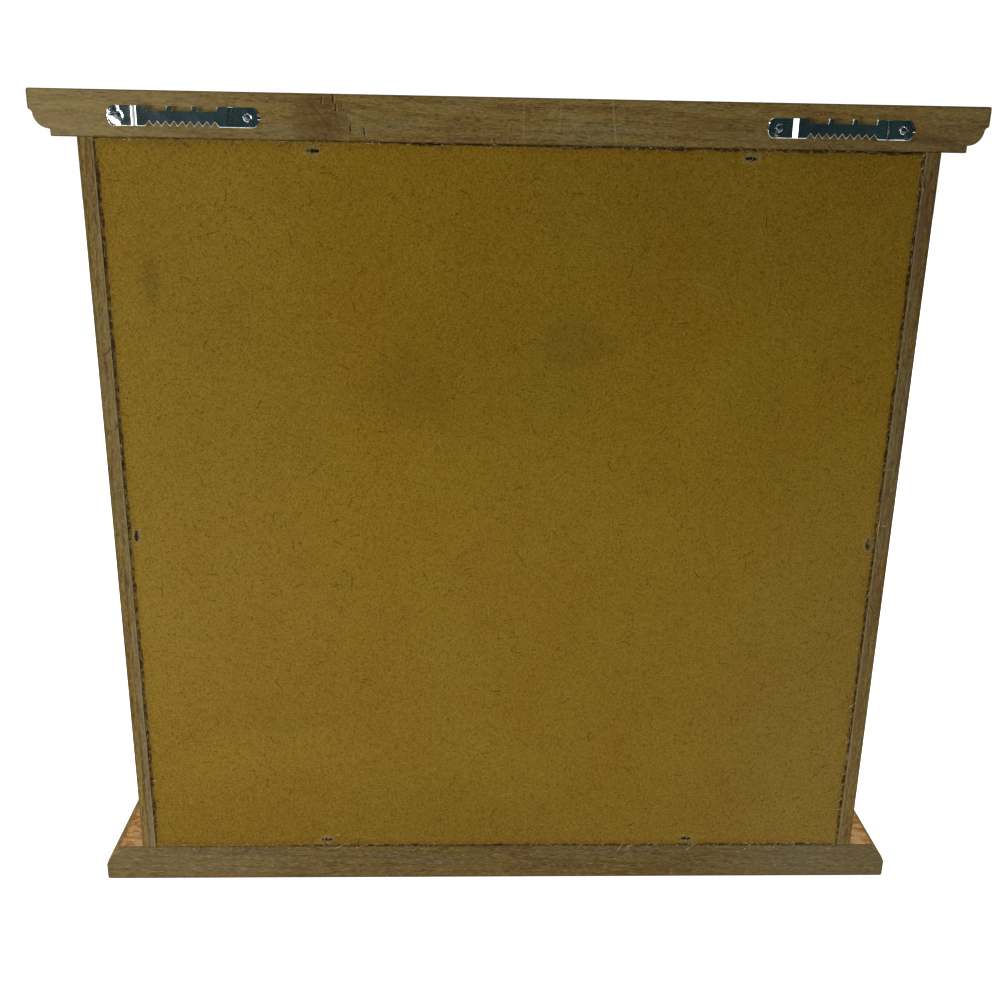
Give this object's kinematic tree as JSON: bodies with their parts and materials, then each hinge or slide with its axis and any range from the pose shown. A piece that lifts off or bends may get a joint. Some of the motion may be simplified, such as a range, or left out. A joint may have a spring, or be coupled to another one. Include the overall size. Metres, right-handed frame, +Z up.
{
  "type": "golf ball display case",
  "caption": "Wall or table display case for golf balls: oak box with grooved shelves, moulded crown and base, hardboard back, sawtooth hangers and a hinged glass door.",
  "frame": {"origin": "centre of the underside of the base board", "axes": "+X to the right for a viewer in front of the case, +Y towards the back and the wall, +Z up"},
  "size_m": [0.4064, 0.0914, 0.3857],
  "materials": {
    "oak_base": "satin",
    "oak_crown": "satin",
    "oak_side": "satin",
    "oak_shelf": "satin",
    "oak_door": "satin",
    "oak_bead": "satin",
    "hardboard": "matte",
    "staple_steel": "dull",
    "zinc_plate": "bright zinc",
    "nail_steel": "bright",
    "screw_steel": "zinc yellow",
    "strike_steel": "nickel",
    "magnet": "nickel",
    "brass": "satin",
    "brass_screw": "satin",
    "knob_brass": "polished",
    "glass": "clear"
  },
  "bodies": {
    "case": {"base_board": "oak_base", "crown_board": "oak_crown", "side_left": "oak_side", "side_right": "oak_side", "top_panel": "oak_shelf", "back_panel": "hardboard", "back_staples": "staple_steel", "hanger_left": "zinc_plate", "hanger_right": "zinc_plate", "hanger_nails": "nail_steel", "base_screws": "screw_steel", "crown_screws": "screw_steel", "catch_magnets": "magnet", "hinge_case_leaf_top": "brass", "hinge_case_leaf_bottom": "brass", "hinge_case_screws": "brass_screw", "hinge_pins": "brass", "shelf_1": "oak_shelf", "shelf_2": "oak_shelf", "shelf_3": "oak_shelf", "shelf_4": "oak_shelf", "shelf_5": "oak_shelf", "shelf_6": "oak_shelf"},
    "door": {"hinge_door_leaf_top": "brass", "hinge_door_leaf_bottom": "brass", "hinge_door_screws": "brass_screw", "door_stile_left": "oak_door", "door_stile_right": "oak_door", "door_rail_top": "oak_door", "door_rail_bottom": "oak_door", "door_glass": "glass", "glass_bead_top": "oak_bead", "glass_bead_bottom": "oak_bead", "glass_bead_left": "oak_bead", "glass_bead_right": "oak_bead", "bead_brads": "nail_steel", "door_knob": "knob_brass", "knob_screw": "screw_steel", "strike_discs": "strike_steel", "strike_screws": "screw_steel"}
  },
  "joints": [
    {"name": "door_hinge", "type": "hinge", "parent": "case", "child": "door", "pos_m": [-0.18675, -0.00912, 0.19285], "axis": [0, 0, -1], "range_deg": [0, 180]}
  ]
}
